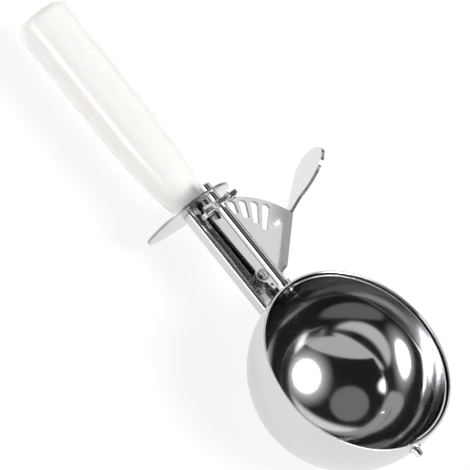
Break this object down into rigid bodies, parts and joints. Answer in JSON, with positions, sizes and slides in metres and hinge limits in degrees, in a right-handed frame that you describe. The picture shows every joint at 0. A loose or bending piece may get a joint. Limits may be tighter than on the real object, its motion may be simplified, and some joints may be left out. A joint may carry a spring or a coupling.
{
  "type": "lever ice cream scoop",
  "caption": "Steel ice cream scoop with a hemispherical bowl: a sprung thumb lever drives a pinion whose shaft sweeps a scraper blade round the bowl; moulded oval handle.",
  "frame": {"origin": "centre of the bowl's sphere, on the blade shaft's axis", "axes": "+Z out of the bowl's mouth; X along the blade shaft, with the handle towards -X; the thumb lever is on +Y"},
  "size_m": [0.2192, 0.0829, 0.0542],
  "materials": {
    "bright_steel": "polished inside, fine satin outside",
    "satin_steel": "satin",
    "stamped_steel": "tumbled after stamping",
    "turned_steel": "bright turned",
    "spring_wire": "drawn wire",
    "white_moulding": "glossy warm white"
  },
  "bodies": {
    "frame": {"bowl": "bright_steel", "shank_channel": "satin_steel", "handle_tang": "satin_steel", "guard_plate": "stamped_steel", "handle": "white_moulding", "lever_rivet": "turned_steel", "lever_spacer": "turned_steel", "return_spring": "spring_wire", "shaft_bush": "turned_steel", "pivot_washer": "turned_steel"},
    "blade": {"scraper_blade": "satin_steel", "blade_shaft": "turned_steel", "pinion": "stamped_steel", "far_pivot_pin": "turned_steel"},
    "lever": {"thumb_lever": "stamped_steel"}
  },
  "joints": [
    {"name": "lever_press", "type": "hinge", "parent": "frame", "child": "lever", "pos_m": [-0.048, 0, -0.0061], "axis": [0, 0, 1], "range_deg": [0, 36], "stiffness_Nm_per_rad": 0.13, "springref_deg": -45.84, "deforming": ["return_spring"]},
    {"name": "blade_sweep", "type": "hinge", "parent": "frame", "child": "blade", "pos_m": [0, 0, 0], "axis": [1, 0, 0], "range_deg": [-180, 0]}
  ],
  "couplings": [
    {"joint": "blade_sweep", "follows": "lever_press", "ratio": -5}
  ]
}
